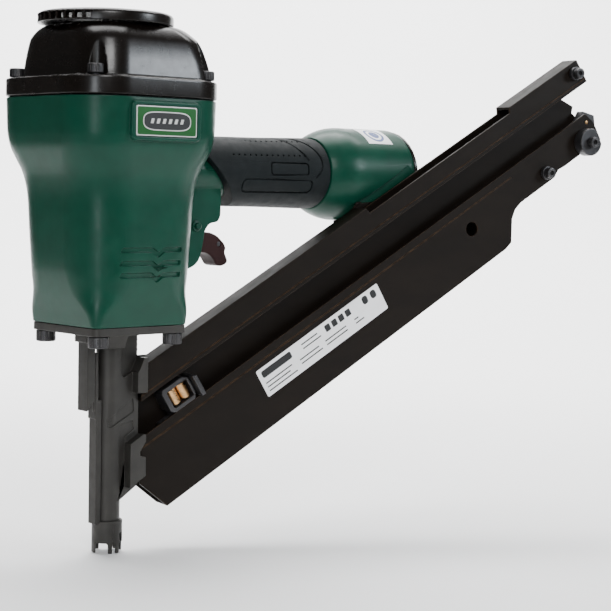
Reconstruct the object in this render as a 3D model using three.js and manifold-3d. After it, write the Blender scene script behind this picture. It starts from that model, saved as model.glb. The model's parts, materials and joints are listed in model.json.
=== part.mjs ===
// Pneumatic strip nailer with an angled stick magazine, in millimetres, +Z up.
// Lengths are laid out from the driver axis (x = y = 0) and the joint between the
// housing and the nose flange (z = 0); the whole tool is then shifted so that the
// origin is the middle of the hand grip. The handle runs along +X.

import * as THREE from 'three';
import { mergeVertices } from 'three/addons/utils/BufferGeometryUtils.js';
import Module from 'manifold-3d';

const wasm = await Module();
wasm.setup();

// Driving dimensions
const GAP = 0.3;                      // clearance left between separate pieces
const GRIP_X = 122;                   // middle of the hand grip from the driver axis
const HANDLE_Z = 99.5;                // handle axis above the nose flange
const CAP_Z = 144.4;                  // underside of the cylinder cap
const CAP_SEAT = 156.6;               // seats of the cap screws
const CAP_SCREW_R = 61.3;             // cap screws from the driver axis
const BASE_SCREW = 29.2;              // base screws from both centre planes
const SLEEVE_R = 29;                  // cylinder sleeve, outside
const PISTON_R = 25.8;                // piston radius
const PISTON_Z = 108;                 // underside of the piston, ready to fire
const DRIVER_TIP_Z = -46;             // driver tip, ready to fire
const BARREL_R = 8.2;                 // drive guide, outside
const CONTACT_R = 10;                 // work contact, outside
const GRIP_R = 24;                    // rubber grip, outside
const CORE_R = 17.5;                  // handle core under the grip
const BULB_R = 33.3;                  // air reservoir at the end of the handle
const BULB_END = 249.5;               // rear face of the reservoir
const MAG_TILT = 31;                  // magazine above horizontal, degrees
const MAG_YAW = 10;                   // magazine turned beside the handle, degrees
const MAG_HALF = 8;                   // half thickness of the magazine
const MAG_TOP = -35.7;                // top face, across the magazine
const MAG_MILLED = -39.9;             // lowered stretch of the top face
const RAIL_LOW = -55;                 // lower edge of the top rail
const WALL_TOP = -75.7;               // top edge of the lower wall
const MAG_LOW = -126.1;               // bottom edge of the lower wall
const MAG_END = 430;                  // rear end of the top rail, along the magazine
const NOSE_FACE = 19;                 // rear face of the nose casting
const REEL_R = 3.8;                   // feed spring reels in the pusher
const REEL_Y = -3.4;                  // reels across the magazine

const GREEN = { color: 0x0b4a34, roughness: 0.35, metalness: 0.1 };
const BLACK = { color: 0x17120e, roughness: 0.35, metalness: 0.5 };
const RUBBER = { color: 0x14191a, roughness: 0.75, metalness: 0.0 };
const CASTING = { color: 0x35332f, roughness: 0.6, metalness: 0.6 };
const STEEL = { color: 0x8d8f92, roughness: 0.35, metalness: 1.0 };
const DARK_STEEL = { color: 0x2c2c30, roughness: 0.4, metalness: 0.9 };
const ALUMINIUM = { color: 0xb7babd, roughness: 0.4, metalness: 1.0 };
const BRASS = { color: 0xb98a55, roughness: 0.3, metalness: 1.0 };
const TRIGGER = { color: 0x33191a, roughness: 0.5, metalness: 0.1 };
const PLATE = { color: 0x0e6a2b, roughness: 0.4, metalness: 0.3 };
const BUFFER = { color: 0x7a4a1c, roughness: 0.7, metalness: 0.0 };

const tool = new THREE.Group();
tool.position.set(-GRIP_X, 0, -HANDLE_Z);
const magazineYaw = new THREE.Group();
magazineYaw.rotation.z = THREE.MathUtils.degToRad(-MAG_YAW);
tool.add(magazineYaw);
const magazine = new THREE.Group();
magazine.rotation.y = THREE.MathUtils.degToRad(-MAG_TILT);
magazineYaw.add(magazine);

// Turns a closed three.js geometry into a solid with its faces pointing out.
function solid(geometry) {
  const plain = geometry.clone();
  plain.deleteAttribute('normal');
  plain.deleteAttribute('uv');
  const merged = mergeVertices(plain, 1e-4);
  const place = merged.attributes.position;
  const index = merged.index.array;
  const corners = [];
  let volume = 0;
  const a = new THREE.Vector3();
  const b = new THREE.Vector3();
  const c = new THREE.Vector3();
  for (let i = 0; i < index.length; i += 3) {
    const [p, q, r] = [index[i], index[i + 1], index[i + 2]];
    if (p === q || q === r || r === p) continue;
    a.fromBufferAttribute(place, p);
    b.fromBufferAttribute(place, q);
    c.fromBufferAttribute(place, r);
    volume += a.dot(b.cross(c));
    corners.push(p, q, r);
  }
  if (volume < 0) {
    for (let i = 0; i < corners.length; i += 3) {
      [corners[i], corners[i + 1]] = [corners[i + 1], corners[i]];
    }
  }
  return new wasm.Manifold(new wasm.Mesh({
    numProp: 3,
    vertProperties: new Float32Array(place.array),
    triVerts: new Uint32Array(corners),
  }));
}

function join(...solids) {
  return solids.reduce((sum, piece) => sum.add(piece));
}

function cut(base, ...tools) {
  return tools.reduce((rest, piece) => rest.subtract(piece), base);
}

// Adds a named mesh made from a solid to a group.
function addPiece(name, body, look, group = tool) {
  const found = body.getMesh();
  const geometry = new THREE.BufferGeometry();
  const corners = new Float32Array(found.vertProperties);
  geometry.setAttribute('position', new THREE.BufferAttribute(corners, 3));
  geometry.setIndex(new THREE.BufferAttribute(new Uint32Array(found.triVerts), 1));
  geometry.computeVertexNormals();
  const mesh = new THREE.Mesh(geometry, new THREE.MeshStandardMaterial(look));
  mesh.name = name;
  group.add(mesh);
  return mesh;
}

function box([x0, x1], [y0, y1], [z0, z1]) {
  const geometry = new THREE.BoxGeometry(x1 - x0, y1 - y0, z1 - z0);
  geometry.translate((x0 + x1) / 2, (y0 + y1) / 2, (z0 + z1) / 2);
  return solid(geometry);
}

// A round bar between two places on a line along one axis, given as 'x', 'y' or 'z'.
function bar(axis, radius, from, to, [u, v] = [0, 0], sides = 24) {
  const geometry = new THREE.CylinderGeometry(radius, radius, to - from, sides);
  geometry.translate(0, (from + to) / 2, 0);
  if (axis === 'x') {
    geometry.rotateZ(-Math.PI / 2);
    geometry.translate(0, u, v);
  } else if (axis === 'z') {
    geometry.rotateX(Math.PI / 2);
    geometry.translate(u, v, 0);
  } else {
    geometry.translate(u, 0, v);
  }
  return solid(geometry);
}

// A profile of [radius, height] points turned about the Z axis.
function turned(points, sides = 32) {
  const profile = points.map(([r, z]) => new THREE.Vector2(r, z));
  const geometry = new THREE.LatheGeometry(profile, sides);
  geometry.rotateX(Math.PI / 2);
  return solid(geometry);
}

// A profile of [x, radius] points turned about the handle axis.
function turnedAlongHandle(points, sides = 32) {
  const profile = points.map(([x, r]) => new THREE.Vector2(r, x));
  const geometry = new THREE.LatheGeometry(profile, sides);
  geometry.rotateZ(-Math.PI / 2);
  geometry.translate(0, 0, HANDLE_Z);
  return solid(geometry);
}

// A side outline of [x, z] points, pushed across from y0 to y1.
function plate(points, y0, y1) {
  const outline = new THREE.Shape(points.map(([x, z]) => new THREE.Vector2(x, z)));
  const geometry = new THREE.ExtrudeGeometry(outline, { depth: y1 - y0, bevelEnabled: false });
  geometry.rotateX(Math.PI / 2);
  geometry.translate(0, y1, 0);
  return solid(geometry);
}

// Corner points of a square of half side `half` with rounded corners, counter-clockwise.
function roundedSquare(half, radius, shift, steps) {
  const points = [];
  for (let corner = 0; corner < 4; corner += 1) {
    const turn = corner * Math.PI / 2;
    const cx = (half - radius) * Math.SQRT2 * Math.cos(turn + Math.PI / 4);
    const cy = (half - radius) * Math.SQRT2 * Math.sin(turn + Math.PI / 4);
    for (let step = 0; step <= steps; step += 1) {
      const angle = turn + step / steps * Math.PI / 2;
      points.push([cx + radius * Math.cos(angle) + shift, cy + radius * Math.sin(angle)]);
    }
  }
  return points;
}

// A tower of rounded squares, each section given as [height, half side, corner radius, x shift].
function loft(sections, steps = 5) {
  const rings = sections.map(([z, half, radius, shift = 0]) =>
    roundedSquare(half, radius, shift, steps).map(([x, y]) => [x, y, z]));
  const count = rings[0].length;
  const positions = rings.flat(2);
  const last = rings.length - 1;
  positions.push(sections[0][3] ?? 0, 0, sections[0][0]);
  positions.push(sections[last][3] ?? 0, 0, sections[last][0]);
  const bottom = count * rings.length;
  const index = [];
  for (let i = 0; i < count; i += 1) {
    const next = (i + 1) % count;
    for (let level = 0; level < last; level += 1) {
      const low = level * count;
      const high = low + count;
      index.push(low + i, low + next, high + next, low + i, high + next, high + i);
    }
    index.push(bottom, next, i, bottom + 1, last * count + i, last * count + next);
  }
  const geometry = new THREE.BufferGeometry();
  geometry.setAttribute('position', new THREE.BufferAttribute(new Float32Array(positions), 3));
  geometry.setIndex(index);
  return solid(geometry);
}

// A coil spring about a vertical line, with its turns between two heights.
function coil(radius, wire, from, to, turns, [x, y] = [0, 0]) {
  class Helix extends THREE.Curve {
    getPoint(t, target = new THREE.Vector3()) {
      const angle = 2 * Math.PI * turns * t;
      const rise = from + wire + (to - from - 2 * wire) * t;
      return target.set(x + radius * Math.cos(angle), y + radius * Math.sin(angle), rise);
    }
  }
  const section = new THREE.Shape();
  const corners = 5;
  for (let i = 0; i < corners; i += 1) {
    const angle = 2 * Math.PI * i / corners;
    if (i === 0) section.moveTo(wire, 0);
    else section.lineTo(wire * Math.cos(angle), wire * Math.sin(angle));
  }
  section.closePath();
  return solid(new THREE.ExtrudeGeometry(section, { steps: 10 * turns, extrudePath: new Helix() }));
}

// A socket head screw with its head at the top, its hexagon socket open upwards.
function socketScrew(headRadius, headHeight, shankRadius, shankLength, socketRadius) {
  const head = bar('z', headRadius, 0, headHeight, [0, 0], 20);
  const shank = bar('z', shankRadius, -shankLength, 0.5, [0, 0], 10);
  const socket = bar('z', socketRadius, headHeight * 0.45, headHeight + 1, [0, 0], 6);
  return cut(join(head, shank), socket);
}

// Housing: a rounded square body that swells into the cylinder head, with the
// handle core, the reservoir and the trigger cheeks cast on.
const HOUSING_SECTIONS = [
  [0, 36.6, 5], [9, 38.6, 10], [21, 42, 24], [32, 44.4, 30], [41, 45.4, 32],
  [60, 46.3, 32], [80, 47.1, 32], [92, 48.6, 32], [99, 50.4, 32], [105.5, 52.8, 32],
  [112, 55, 32], [118, 56.1, 32], [125, 56.7, 32], [CAP_Z - 1.2, 57.1, 32],
];

// Outline of the trigger cheeks and the web that ties them to the handle.
const CHEEK = [
  [44, 31.5], [50, 32.5], [57.7, 35], [62, 37], [64, 41], [66.4, 48], [68.5, 60],
  [71, 63.5], [78.5, 65.4], [82, 69.5], [82, 88], [50, 121], [44, 121],
];

// A box given in the frame of the magazine: along, across and up from its axis.
function magazineSolid(spans, [y0, y1], [n0, n1]) {
  const geometry = new THREE.BoxGeometry(spans[1] - spans[0], y1 - y0, n1 - n0);
  geometry.translate((spans[0] + spans[1]) / 2, (y0 + y1) / 2, (n0 + n1) / 2);
  geometry.rotateY(THREE.MathUtils.degToRad(-MAG_TILT));
  geometry.rotateZ(THREE.MathUtils.degToRad(-MAG_YAW));
  return solid(geometry);
}

const screwCorners = [[-1, -1], [1, -1], [1, 1], [-1, 1]];

function makeHousing() {
  const handle = turnedAlongHandle([
    [30, 0], [30, CORE_R], [172.6, CORE_R], [172.6, 25.4], [176, 27.6], [181, 30],
    [187, 32], [195, BULB_R], [245.5, BULB_R], [248.4, 32.5], [BULB_END, 30.8], [BULB_END, 0],
  ]);
  const gap = join(box([47.5, 100], [-8.7, 8.7], [20, 66]), box([47.5, 68.5], [-8.7, 8.7], [60, 70.6]));
  const web = cut(plate(CHEEK, -13, 13), gap);
  let body = join(loft(HOUSING_SECTIONS), cut(handle, gap), web);
  const bore = bar('z', SLEEVE_R + GAP, -1, 124, [0, 0], 32);
  const chamber = loft([[96, 40, 30], [104, 44, 30], [CAP_Z + 1, 46, 30]]);
  const air = bar('x', 12, 36, BULB_END + 1, [0, HANDLE_Z], 24);
  const reservoir = turnedAlongHandle([
    [176, 0], [176, 12.5], [188, 25], [240, 27], [240, 30], [BULB_END + 1, 30], [BULB_END + 1, 0],
  ]);
  const beside = magazineSolid([120, 330], [-30, MAG_HALF + 2], [-70, MAG_TOP + 2]);
  const valveBore = bar('z', 8.8, 60, 90, [76, 0], 24);
  body = cut(body, bore, chamber, air, reservoir, beside, valveBore);
  for (const [sx, sy] of screwCorners) {
    body = cut(body, bar('z', 4.3, -1, 16, [sx * BASE_SCREW, sy * BASE_SCREW], 16));
    const at = CAP_SCREW_R * Math.SQRT1_2;
    body = cut(body, bar('z', 3.3, CAP_Z - 18, CAP_Z + 1, [sx * at, sy * at], 16));
  }
  const pinHole = bar('y', 2.8, -14, 14, [60.8, 62.8], 20);
  body = cut(body, pinHole);
  // Raised frame around the name plate, on the near side of the head.
  const frame = cut(
    box([-27, 27], [-59.4, -54], [117.5, 143]),
    box([-23.9, 23.9], [-60, -57.6], [120.2, 140.2]),
  );
  return join(body, frame);
}

function makeCap() {
  const shell = loft([
    [CAP_Z, 57.4, 32], [155.9, 57.4, 32], [156.4, 50.2, 24, 4.2], [169, 48.4, 24, 3.7],
    [177, 46.6, 24, 2.8], [182, 44.8, 24, 1.8], [187, 41, 24, 0.6], [190, 36, 24, 0],
  ]);
  const hollow = loft([[CAP_Z - 1, 46, 30], [150, 44, 24, 0], [178, 39, 24, 0]]);
  const outlet = bar('z', 22, 170, 200, [-5, 0], 32);
  const at = CAP_SCREW_R * Math.SQRT1_2;
  let cap = cut(shell, hollow);
  cap = join(cap, bar('z', 4.5, 174, 190, [-5, 0], 20));
  // Three spokes hold the deflector screw boss over the exhaust outlet.
  const ring = cut(outlet, bar('z', 8, 160, 201, [-5, 0], 24));
  for (let arm = 0; arm < 3; arm += 1) {
    const from = arm * 2 * Math.PI / 3 + Math.PI / 2;
    const spread = Math.PI / 3.4;
    const wedge = new THREE.Shape();
    wedge.moveTo(0, 0);
    wedge.lineTo(40 * Math.cos(from), 40 * Math.sin(from));
    wedge.lineTo(40 * Math.cos(from + spread), 40 * Math.sin(from + spread));
    wedge.closePath();
    const slot = new THREE.ExtrudeGeometry(wedge, { depth: 40, bevelEnabled: false });
    slot.translate(-5, 0, 165);
    cap = cut(cap, ring.intersect(solid(slot)));
  }
  cap = cut(cap, bar('z', 2.6, 176, 192, [-5, 0], 16));
  for (const [sx, sy] of screwCorners) {
    const hole = bar('z', 3.3, CAP_Z - 1, 162, [sx * at, sy * at], 16);
    const scallop = bar('z', 6.6, CAP_SEAT, 186, [sx * at, sy * at], 20);
    cap = cut(cap, hole, scallop);
  }
  return cap;
}

function makeDeflector() {
  const top = turned([
    [0, 197.2], [5.5, 197.2], [6.5, 199.4], [24, 199.2], [36, 198.7], [40.8, 198.1], [43.1, 196.4],
    [43.4, 191.2], [40.6, 191.2], [40.2, 194.8], [38, 195.6], [20, 196.4], [0, 195.6],
  ], 32);
  const skirt = turned([[40.6, 190.8], [43.4, 190.8], [43.4, 191.4], [40.6, 191.4], [40.6, 190.8]], 32);
  let shell = cut(join(top, skirt), bar('z', 2.8, 180, 210, [0, 0], 16));
  // The exhaust mouth faces forward and is crossed by upright louvres.
  const mouth = cut(
    box([-60, -20], [-28, 28], [191.8, 196.6]),
    bar('z', 39, 180, 210, [0, 0], 32),
  );
  shell = cut(shell, mouth);
  for (let rib = -3; rib <= 3; rib += 1) {
    const angle = Math.PI + rib * 0.19;
    const louvre = new THREE.BoxGeometry(3.4, 1.6, 6.4);
    louvre.rotateZ(angle);
    louvre.translate(41.2 * Math.cos(angle), 41.2 * Math.sin(angle), 194.2);
    shell = join(shell, solid(louvre));
  }
  return shell;
}

function buildHead() {
  addPiece('housing', makeHousing(), GREEN);
  addPiece('cap', makeCap(), BLACK);
  const gasket = cut(
    loft([[CAP_Z - 0.9, 56, 31], [CAP_Z - GAP, 56, 31]]),
    loft([[CAP_Z - 2, 46.5, 30], [CAP_Z + 1, 46.5, 30]]),
  );
  const at = CAP_SCREW_R * Math.SQRT1_2;
  const holes = screwCorners.map(([sx, sy]) => bar('z', 3.3, 140, 150, [sx * at, sy * at], 16));
  addPiece('cap_gasket', cut(gasket, ...holes), RUBBER);
  screwCorners.forEach(([sx, sy], i) => {
    const screw = socketScrew(5, 6, 3, 21, 2.6);
    const mesh = addPiece(`cap_screw_${i + 1}`, screw, DARK_STEEL);
    mesh.position.set(sx * at, sy * at, CAP_SEAT + GAP);
  });
  const deflector = addPiece('exhaust_deflector', makeDeflector(), BLACK);
  deflector.position.set(-5, 0, 0);
  const screw = addPiece('deflector_screw', socketScrew(4.6, 2.4, 2.3, 20, 2), DARK_STEEL);
  screw.position.set(-5, 0, 197.5);
  addPiece('name_plate', box([-23.6, 23.6], [-58.9, -57.9], [120.5, 139.9]), PLATE);
}

// Drive: the sleeve, the piston with its blade, the bumper and the head valve.
function buildDrive() {
  const sleeve = turned([
    [PISTON_R + 0.3, 3], [SLEEVE_R, 3], [SLEEVE_R, 121.6], [PISTON_R + 0.3, 121.6], [PISTON_R + 0.3, 3],
  ], 32);
  addPiece('cylinder_sleeve', sleeve, ALUMINIUM);
  const groove = turned([
    [PISTON_R - 2, PISTON_Z + 4], [PISTON_R + 1, PISTON_Z + 4], [PISTON_R + 1, PISTON_Z + 7],
    [PISTON_R - 2, PISTON_Z + 7], [PISTON_R - 2, PISTON_Z + 4],
  ], 32);
  const slot = box([-2.2, 2.2], [-3.8, 3.8], [PISTON_Z - 1, PISTON_Z + 5]);
  const piston = cut(bar('z', PISTON_R, PISTON_Z, PISTON_Z + 11, [0, 0], 32), groove, slot);
  addPiece('piston', piston, ALUMINIUM);
  const ring = turned([
    [PISTON_R - 1.6, PISTON_Z + 4.3], [PISTON_R, PISTON_Z + 4.3], [PISTON_R, PISTON_Z + 6.7],
    [PISTON_R - 1.6, PISTON_Z + 6.7], [PISTON_R - 1.6, PISTON_Z + 4.3],
  ], 32);
  addPiece('piston_ring', ring, RUBBER);
  addPiece('driver_blade', box([-1.8, 1.8], [-3.4, 3.4], [DRIVER_TIP_Z, PISTON_Z + 4.7]), STEEL);
  const bumper = cut(
    turned([[0, 0.6], [24.5, 0.6], [25.6, 3], [24, 8], [19, 11.6], [0, 11.6]], 36),
    box([-2.6, 2.6], [-4.4, 4.4], [-1, 14]),
  );
  addPiece('bumper', bumper, BUFFER);
  const valve = turned([
    [21, 122.2], [34, 122.2], [34, 127], [31, 131], [31, 140], [27, 140], [27, 127], [21, 127], [21, 122.2],
  ], 32);
  addPiece('head_valve', valve, ALUMINIUM);
  addPiece('head_valve_spring', coil(34.5, 1.1, 140.6, 176, 4), STEEL);
}

// Nose: flange, drive guide with its magazine lugs, the front guard and the screws.
function makeNose() {
  const flange = loft([[-5.3, 36.3, 5], [-GAP, 36.3, 5]]);
  const hopper = cut(loft([[-16, 12, 3], [-5, 16.2, 4]]), box([-30, -10.3], [-30, 30], [-20, -5.4]));
  const barrel = bar('z', BARREL_R, -136, -5, [0, 0], 28);
  const keel = plate([
    [0, -8], [NOSE_FACE, -8], [NOSE_FACE, -107], [3, -117], [0, -117],
  ], -8, 8);
  const upperLug = plate([[13.4, -26], [16.6, -23], [21.5, -23], [21.5, -46], [13.4, -46]], -14.4, -7.6);
  const lowerLug = plate([
    [8, -79], [18.6, -73], [20.5, -73.4], [20.5, -78], [16, -84.4], [16, -87.4], [20.5, -88.4],
    [20.5, -101], [8, -108],
  ], -14.4, -7.6);
  const farLug = box([12, 24], [6, 9], [-100, -30]);
  let nose = join(flange, hopper, barrel, keel, upperLug, lowerLug, farLug);
  // Slot for the driver blade, with its gallery opening into the magazine.
  nose = cut(nose, box([-2.4, 2.4], [-4, 4], [-140, 2]), bar('z', 4.2, -140, -44, [0, 0], 16));
  nose = cut(nose, box([0, 40], [-4.2, 4.2], [-132, -50]).intersect(box([0, 40], [-5, 5], [-128, -50])));
  const beside = magazineSolid([-60, 120], [-MAG_HALF - 0.4, MAG_HALF + 0.4], [MAG_LOW - 6, MAG_TOP + 0.5]);
  nose = cut(nose, beside.intersect(box([NOSE_FACE - 0.5, 60], [-40, 40], [-140, 20])));
  for (const [sx, sy] of screwCorners) {
    nose = cut(nose, bar('z', 4.4, -10, 1, [sx * BASE_SCREW, sy * BASE_SCREW], 16));
  }
  return nose;
}

function buildNose() {
  addPiece('nose_casting', makeNose(), CASTING);
  screwCorners.forEach(([sx, sy], i) => {
    const mesh = addPiece(`base_screw_${i + 1}`, socketScrew(6.4, 7.4, 4, 19, 3.4), DARK_STEEL);
    mesh.rotation.x = Math.PI;
    mesh.position.set(sx * BASE_SCREW, sy * BASE_SCREW, -5.6);
  });
  // Front guard: an upright channel that the work contact slides behind.
  const guard = cut(
    join(box([-20.3, -14.4], [-5.6, 5.6], [-57, -5.7]), box([-22.4, -14.4], [-6.6, 6.6], [-12, -5.7])),
    box([-18.2, -10], [-3.8, 3.8], [-60, -13]),
    plate([[-30, -70], [-15.5, -50], [-15.5, -70]], -20, 20),
  );
  addPiece('contact_guard', guard, CASTING);
}

// Direction of the first gap in the crown of the work contact, in degrees from +X.
const FIRST_GAP = 206;

// Work contact: crowned collar and strip, with the link that runs to the trigger.
function makeContact() {
  const collar = bar('z', CONTACT_R, -150.5, -129, [0, 0], 32);
  const strip = box([-12.2, -8], [-4, 4], [-131, -50]);
  const shank = box([-13.2, -10.8], [-4, 4], [-62, -19]);
  const tie = box([-12, -9.2], [-4, 4], [-62, -50]);
  let contact = join(collar, strip, shank, tie);
  contact = cut(contact, bar('z', BARREL_R + 0.4, -160, -40, [0, 0], 32));
  // Wide and narrow gaps between the teeth take turns round the crown.
  for (let gap = 0; gap < 6; gap += 1) {
    const notch = new THREE.BoxGeometry(30, gap % 2 === 0 ? 8 : 3.4, 12);
    notch.translate(15, 0, -150.5);
    notch.rotateZ(THREE.MathUtils.degToRad(FIRST_GAP + 51 * gap));
    contact = cut(contact, solid(notch));
  }
  return cut(contact, bar('y', 2.2, -12, 0, [5, -140], 12));
}

function buildContact() {
  addPiece('work_contact', makeContact(), CASTING);
  const arm = join(
    box([-13.2, -10.8], [4.3, 15.9], [-36, -24.5]),
    box([-13.2, 54], [13.7, 15.9], [-36, -24.5]),
    box([50.4, 54], [4.6, 15.9], [-36, -30]),
    box([50.4, 54], [4.6, 8.2], [-36, 34]),
    box([50.4, 60.5], [-2.5, 8.2], [27.5, 34.5]),
  );
  addPiece('contact_link', arm, DARK_STEEL);
  addPiece('contact_spring', coil(3.2, 0.6, -24, -6.2, 5, [30, 14.8]), STEEL);
}

// Trigger group: lever, inner rocker, pins and the valve in the handle root.
function buildTrigger() {
  const outline = [
    [55.5, 67], [53.5, 62.8], [55.5, 57], [66, 50], [70.2, 45.2], [74.6, 44.4], [78.8, 42.2],
    [81.6, 39.2], [83.2, 36.8], [86, 35.4], [89.6, 35.6], [92.6, 37.2], [93.2, 39.6], [91, 44.4],
    [91.7, 47.4], [90.2, 50.6], [87.4, 53.2], [84.4, 55.6], [80.3, 57.5], [76, 58.4], [68.5, 58.6],
    [66.4, 64.6], [64, 67], [60, 68],
  ];
  const slot = plate([[52, 47.5], [90.2, 45.8], [89.6, 49.6], [86, 56], [86, 70], [52, 70]], -3.2, 3.2);
  const trigger = cut(
    plate(outline, -7.4, 7.4),
    slot,
    bar('y', 2.8, -20, 20, [60.8, 62.8], 20),
    bar('y', 1.9, -20, 20, [85.2, 50.4], 16),
  );
  const sides = join(trigger, plate([[84, 40], [92, 41], [90, 47], [84, 44.6]], -3.4, 3.4));
  addPiece('trigger', sides, TRIGGER);
  addPiece('trigger_pin', bar('y', 2.5, -13.6, 13.6, [60.8, 62.8], 20), STEEL);
  const rocker = cut(
    plate([[57.4, 50.4], [83, 47.2], [87, 47.6], [88.2, 50.4], [87, 53.2], [57.4, 53.6]], -2.5, 2.5),
    bar('y', 1.9, -5, 5, [85.2, 50.4], 16),
  );
  addPiece('trigger_rocker', rocker, STEEL);
  addPiece('rocker_pin', bar('y', 1.6, -7.4, 7.4, [85.2, 50.4], 16), STEEL);
  const valve = cut(bar('z', 8.5, 66.3, 86, [76, 0], 24), bar('z', 2.4, 60, 90, [76, 0], 16));
  addPiece('trigger_valve', valve, BRASS);
  addPiece('valve_stem', bar('z', 2, 61.4, 84, [76, 0], 16), STEEL);
}

function buildHandle() {
  const rubber = turnedAlongHandle([
    [58.5, CORE_R + GAP], [58.5, GRIP_R - 0.5], [120, GRIP_R], [166, 25], [172.2, 24.6],
    [172.2, CORE_R + GAP], [58.5, CORE_R + GAP],
  ]);
  const slant = plate([[20, 146.7], [34, 140], [105, 65], [105, 40], [20, 40]], -40, 40);
  const front = box([40, 64], [-40, 40], [20, 118]);
  addPiece('grip', cut(rubber, slant, front), RUBBER);
  const cover = turnedAlongHandle([
    [BULB_END + GAP, 0], [BULB_END + GAP, 32.2], [BULB_END + 2.4, 32.4], [BULB_END + 4.6, 30.6],
    [BULB_END + 5.4, 24], [BULB_END + 5.8, 15], [BULB_END + 12, 13.5], [BULB_END + 12, 0],
  ]);
  const plug = bar('x', 29.6, BULB_END - 6, BULB_END + 1, [0, HANDLE_Z], 32);
  addPiece('end_cap', cut(join(cover, plug), bar('x', 9.4, 230, 280, [0, HANDLE_Z], 24)), BLACK);
  const bush = cut(
    join(bar('x', 9.1, BULB_END - 4, BULB_END + 12, [0, HANDLE_Z], 24),
      bar('x', 11.4, BULB_END + 12.3, BULB_END + 15, [0, HANDLE_Z], 6),
      bar('x', 9.1, BULB_END + 11, BULB_END + 13, [0, HANDLE_Z], 24)),
    bar('x', 6.2, 230, 280, [0, HANDLE_Z], 20),
  );
  addPiece('air_inlet', bush, BRASS);
  for (let turn = 0; turn < 3; turn += 1) {
    const angle = Math.PI / 2 + turn * 2 * Math.PI / 3;
    const screw = addPiece(`end_cap_screw_${turn + 1}`, bar('z', 2.8, 0, 1.6, [0, 0], 16), STEEL);
    screw.rotation.y = Math.PI / 2;
    screw.position.set(BULB_END + 5.8, 22 * Math.cos(angle), HANDLE_Z + 22 * Math.sin(angle));
  }
}

// Magazine: one extruded channel with a hollow top rail, milled at both ends.
function makeMagazine() {
  const wall = 1.8;
  const profile = new THREE.Shape([
    [-MAG_HALF, MAG_TOP], [MAG_HALF, MAG_TOP], [MAG_HALF, MAG_LOW], [-MAG_HALF, MAG_LOW],
    [-MAG_HALF, WALL_TOP], [-5.6, WALL_TOP], [-5.6, MAG_LOW + wall], [MAG_HALF - wall, MAG_LOW + wall],
    [MAG_HALF - wall, RAIL_LOW], [-MAG_HALF, RAIL_LOW],
  ].map(([y, n]) => new THREE.Vector2(y, n)));
  const rail = new THREE.Path([
    [-MAG_HALF + wall, MAG_TOP - wall], [-MAG_HALF + wall, RAIL_LOW + wall],
    [MAG_HALF - wall, RAIL_LOW + wall], [MAG_HALF - wall, MAG_TOP - wall],
  ].map(([y, n]) => new THREE.Vector2(y, n)));
  profile.holes.push(rail);
  const length = MAG_END + 60;
  const geometry = new THREE.ExtrudeGeometry(profile, { depth: length, bevelEnabled: false });
  // The profile's plane becomes the cross plane of the magazine.
  geometry.applyMatrix4(new THREE.Matrix4().makeBasis(
    new THREE.Vector3(0, 1, 0), new THREE.Vector3(0, 0, 1), new THREE.Vector3(1, 0, 0)));
  geometry.translate(-60, 0, 0);
  let body = solid(geometry);
  const tilt = THREE.MathUtils.degToRad(MAG_TILT);
  // Front end: upright behind the nose, with its lower corner cut square to the magazine.
  const faceAt = NOSE_FACE + 1.2;
  const frontAt = (n) => (faceAt + n * Math.sin(tilt)) / Math.cos(tilt);
  body = cut(body, plate([
    [frontAt(-20), -20], [frontAt(-102), -102], [-28.6, MAG_LOW - 0.5], [-28.6, -140], [-90, -140], [-90, -20],
  ], -20, 20));
  // Lowered stretch of the top rail.
  body = cut(body, plate([[204.5, -30], [207.5, MAG_MILLED], [352, MAG_MILLED], [356, -30]], -20, 20));
  // Rear end: the lower wall stops short, then a slim tail runs on under the rail.
  body = cut(body, plate([
    [299.5, -140], [299.5, MAG_LOW - 0.2], [307, -124.6], [316.3, -109.4], [322, -105], [329, -103.2],
    [366.4, -103.2], [372.8, -100], [380.4, -100.7], [386.8, -100.6], [450, -100.6], [450, -140],
  ], -20, 20));
  body = cut(body, plate([
    [MAG_END - 2, -30], [MAG_END, RAIL_LOW], [408.8, RAIL_LOW], [412, -60.5], [419.5, -70.6], [416, -74.4],
    [421, -86], [421, -120], [470, -120], [470, -30],
  ], -20, 20));
  // Inspection hole, then the holes for the rear fittings.
  body = cut(body, bar('y', 5.2, -20, -2, [279.8, -96.6], 24));
  body = cut(body, bar('y', 2.3, -20, 20, [360.4, -95.5], 16));
  body = cut(body, bar('y', 2.3, -20, 20, [421, -43.6], 16));
  body = cut(body, bar('y', 2.6, -20, 20, [405, -94.2], 16));
  body = cut(body, bar('y', 1.6, -20, 20, [414.4, -82], 12));
  return body;
}

function placeInMagazine(mesh, s, y, n) {
  mesh.position.set(s, y, n);
  return mesh;
}

// A screw whose head faces the near side of the magazine, standing on a bushing.
function sideScrew(name, head, shank, length, socket, s, y, n) {
  const mesh = addPiece(name, socketScrew(head, 4.6, shank, length, socket), DARK_STEEL, magazine);
  mesh.rotation.x = Math.PI / 2;
  return placeInMagazine(mesh, s, y, n);
}

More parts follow.
